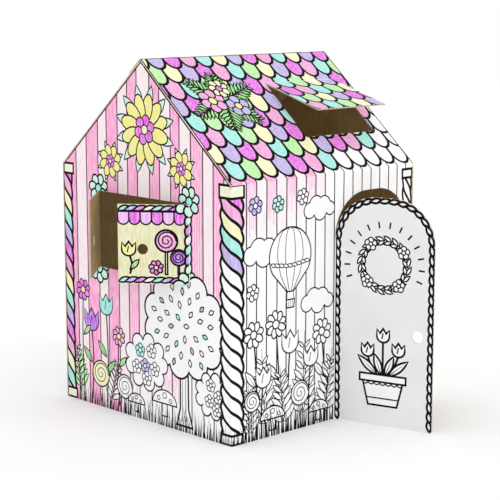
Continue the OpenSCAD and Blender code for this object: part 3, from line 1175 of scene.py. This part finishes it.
def make_right_gable():
    y_top, peak, eave_y = gable_outline()
    low_top = EAVE_H - RELIEF - 2 * ROOT
    canvas = Canvas([
        (0, 0), (GABLE_W + 1, 0), (GABLE_W + 1, low_top), (GABLE_W - eave_y, low_top + 0.5),
        (GABLE_W - eave_y, y_top), (GABLE_W / 2, peak), (eave_y, y_top), (eave_y, low_top), (0, low_top),
    ])
    planks(canvas, GABLE_LINES, 0, RIDGE_H)
    for x in (WINDOW_Y, GABLE_W - WINDOW_Y):
        window_trim(canvas, x, WINDOW_Z, False)
    grass(canvas, 60, 810, 88, 110, seed=8)
    plain_columns(canvas, 30, 52)
    for u in back_plan.folds():
        canvas.guide((GABLE_W + u, 0), (GABLE_W + u, low_top))
    gable_bends(canvas, mirrored=True)
    low_y = WINDOW_Y - crease_room(AJAR_OPEN)
    canvas.cut(box(low_y, WINDOW_Z, GABLE_W - low_y, WINDOW_Z + WINDOW_H))
    return canvas.build("print_right_gable", on_right_gable)


def make_back_wall():
    low_top = EAVE_H - RELIEF - 2 * ROOT
    canvas = Canvas([(1, 0), (WALL_L, 0), (WALL_L, EAVE_H - 3), (0, EAVE_H - 3), (0, low_top), (1, low_top)])
    planks(canvas, FRONT_LINES, 0, EAVE_H)
    grass(canvas, 60, 810, 100, 110, seed=9)
    plain_columns(canvas, 0, 51)
    for u in back_plan.folds():
        canvas.guide((u, 0), (u, low_top))
    return canvas.build("print_back_wall", on_back_wall)


def make_back_roof():
    canvas = Canvas(box(0, -3, WALL_L, RIDGE_S - RIDGE_FLAP_W - 3))
    canvas.origin = (0, -EAVE_H)
    planks(canvas, FRONT_LINES, 0, PLANK_TOP)
    canvas.origin = (0, 0)
    shingles(canvas, never)
    for s in back_roof_profile.folds():
        canvas.guide((0, s), (WALL_L, s))
    return canvas.build("print_back_roof", on_back_roof)


def search_tree(pieces):
    """One tree over the faces of several pieces."""
    points, faces = [], []
    for piece in pieces:
        first = len(points)
        points += [v.co for v in piece.data.vertices]
        faces += [[first + i for i in p.vertices] for p in piece.data.polygons]
    return BVHTree.FromPolygons(points, faces)


def open_creases():
    """For each leaf that is bent out, a point and the direction of its crease and the way its print faces."""
    creases = []
    up = Vector((0, 0, 1))
    for x, out, near, far in ((0, -1, NEAR_OPEN, FAR_OPEN), (WALL_L, 1, AJAR_OPEN, AJAR_OPEN)):
        for y, side, opening in ((WINDOW_Y, -1, near), (GABLE_W - WINDOW_Y, 1, far)):
            way = Vector((out * (1 + math.cos(opening)), side * math.sin(opening), 0))
            creases.append((in_frame(x, y, 0), up, way))
    way = Vector((-math.sin(DOOR_OPEN), -1 - math.cos(DOOR_OPEN), 0))
    creases.append((in_frame(DOOR_X, 0, 0), up, way))
    a = PITCH - SKY_OPEN
    way = Vector((0, -math.sin(PITCH) - math.sin(a), math.cos(PITCH) + math.cos(a)))
    creases.append((in_frame(0, *slope_point(SKY_CREASE)), Vector((1, 0, 0)), way))
    return creases


def in_bend(face, creases, reach=0.009, turned=0.3):
    """Whether a face lies in a leaf's bend, on the printed side."""
    for point, axis, way in creases:
        away = face.center - point
        away -= axis * away.dot(axis)
        if away.length < reach and face.normal.dot(way) > turned:
            return True
    return False


def dress_board(node, print_tree):
    """White liner under the print, kraft inside, and the cut edge where the board is deep."""
    mesh = node.data
    tree = search_tree([node])
    creases = open_creases()
    mesh.materials.clear()
    for material in (kraft_liner, edge, materials["bare"]):
        mesh.materials.append(material)
    skin = 0.0001
    print_reach = 8 * LIFT / 1000
    deep_board = 1.2 * BOARD / 1000
    for face in mesh.polygons:
        deep = tree.ray_cast(face.center - face.normal * skin, -face.normal)[3]
        printed = print_tree.ray_cast(face.center, face.normal, print_reach)[0] is not None
        if printed or in_bend(face, creases):
            face.material_index = 2
        else:
            face.material_index = 1 if deep is not None and deep > deep_board else 0


pieces = [
    make_walls(),
    make_roof(),
    make_door(),
    make_skylight_flap(),
    make_shutter("print_near_shutter", True, True, NEAR_OPEN),
    make_shutter("print_far_shutter", True, False, FAR_OPEN),
    make_right_gable(),
    make_back_wall(),
    make_back_roof(),
    make_shutter("print_right_near_shutter", False, True, AJAR_OPEN),
    make_shutter("print_right_far_shutter", False, False, AJAR_OPEN),
]
kraft_liner = kraft()
edge = cut_edge()
print_tree = search_tree(pieces)
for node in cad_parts.values():
    dress_board(node, print_tree)


# Floor, light and camera

def make_floor():
    mesh = bpy.data.meshes.new("floor")
    reach = 14
    corners = [(x, y, 0) for x, y in box(-reach, -reach, reach, reach)]
    mesh.from_pydata(corners, [], [(0, 1, 2, 3)])
    shader = Shader("floor", roughness=0.9, specular=0.0)
    shader.colour(shader.mix(shader.noise(3), (1, 1, 1, 1), (0.97, 0.97, 0.97, 1)))
    mesh.materials.append(shader.material)
    new_object("floor", mesh)


def make_world(strength):
    """White to the camera, softer as a light."""
    world = bpy.data.worlds.new("world")
    bpy.context.scene.world = world
    world.use_nodes = True
    nodes, links = world.node_tree.nodes, world.node_tree.links
    soft = nodes["Background"]
    seen = nodes.new("ShaderNodeBackground")
    for background, glow in ((soft, strength), (seen, 1)):
        background.inputs["Color"].default_value = (1, 1, 1, 1)
        background.inputs["Strength"].default_value = glow
    path = nodes.new("ShaderNodeLightPath")
    mix = nodes.new("ShaderNodeMixShader")
    links.new(path.outputs["Is Camera Ray"], mix.inputs["Fac"])
    links.new(soft.outputs["Background"], mix.inputs[1])
    links.new(seen.outputs["Background"], mix.inputs[2])
    links.new(mix.outputs["Shader"], nodes["World Output"].inputs["Surface"])


def make_sun(azimuth, height, strength, spread):
    """Soft light from a compass direction round the house, 0 in front and 90 on the right."""
    light = bpy.data.lights.new("sun", "SUN")
    light.energy = strength
    light.angle = math.radians(spread)
    lamp = new_object("sun", light)
    a, h = math.radians(azimuth), math.radians(height)
    come = Vector((math.sin(a) * math.cos(h), -math.cos(a) * math.cos(h), math.sin(h)))
    lamp.rotation_mode = "QUATERNION"
    lamp.rotation_quaternion = come.to_track_quat("Z", "Y")


def make_camera():
    data = bpy.data.cameras.new("camera")
    data.lens = CAMERA_LENS
    data.sensor_width = 36
    camera = new_object("camera", data)
    camera.location = in_frame(*CAMERA)
    level = math.cos(CAMERA_PITCH)
    look = Vector((math.sin(CAMERA_YAW) * level, math.cos(CAMERA_YAW) * level, -math.sin(CAMERA_PITCH)))
    camera.rotation_mode = "QUATERNION"
    camera.rotation_quaternion = look.to_track_quat("-Z", "Y")
    bpy.context.scene.camera = camera


make_floor()
make_world(strength=0.96)
make_sun(azimuth=0, height=42, strength=0.5, spread=50)
make_camera()
bpy.context.scene.view_settings.view_transform = "Standard"
